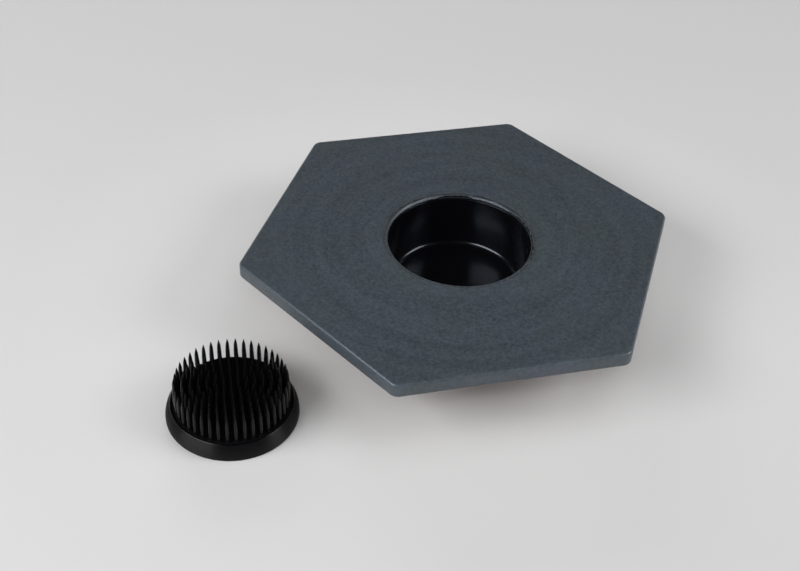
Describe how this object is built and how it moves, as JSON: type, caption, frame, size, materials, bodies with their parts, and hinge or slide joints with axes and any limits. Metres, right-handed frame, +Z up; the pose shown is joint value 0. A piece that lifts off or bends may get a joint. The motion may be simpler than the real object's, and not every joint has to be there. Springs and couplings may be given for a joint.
{
  "type": "ikebana suiban",
  "caption": "Low hexagonal stoneware flower dish with a deep round glazed well, and a round metal pin holder in a rubber ring standing beside it.",
  "frame": {"origin": "on the axis of the round well, in the plane of the table that the foot ring and the pin holder stand on", "axes": "+Z up, along the well's axis; two opposite corners of the hexagonal plate lie on the X axis; the pin holder stands on the -X, -Y side"},
  "size_m": [0.2751, 0.2, 0.041],
  "materials": {
    "slate_stoneware": "matte, finely speckled slate-grey glaze",
    "gloss_black_glaze": "gloss",
    "black_rubber": "satin",
    "black_lacquered_metal": "gloss lacquer"
  },
  "bodies": {
    "dish": {"dish": "slate_stoneware", "well_glaze": "gloss_black_glaze"},
    "ring": {"rubber_ring": "black_rubber"},
    "pins": {"kenzan_base": "black_lacquered_metal", "needle_centre": "black_lacquered_metal", "needle_row_1": "black_lacquered_metal", "needle_row_2": "black_lacquered_metal", "needle_row_3": "black_lacquered_metal", "needle_row_4": "black_lacquered_metal", "needle_row_5": "black_lacquered_metal", "needle_row_6": "black_lacquered_metal", "needle_row_7": "black_lacquered_metal"}
  },
  "joints": [
    {"name": "kenzan_lift", "type": "slide", "parent": "dish", "child": "ring", "axis": [0, 0, 1], "range_m": [0, 0.1]},
    {"name": "base_lift", "type": "slide", "parent": "ring", "child": "pins", "axis": [0, 0, 1], "range_m": [0, 0.03]}
  ]
}
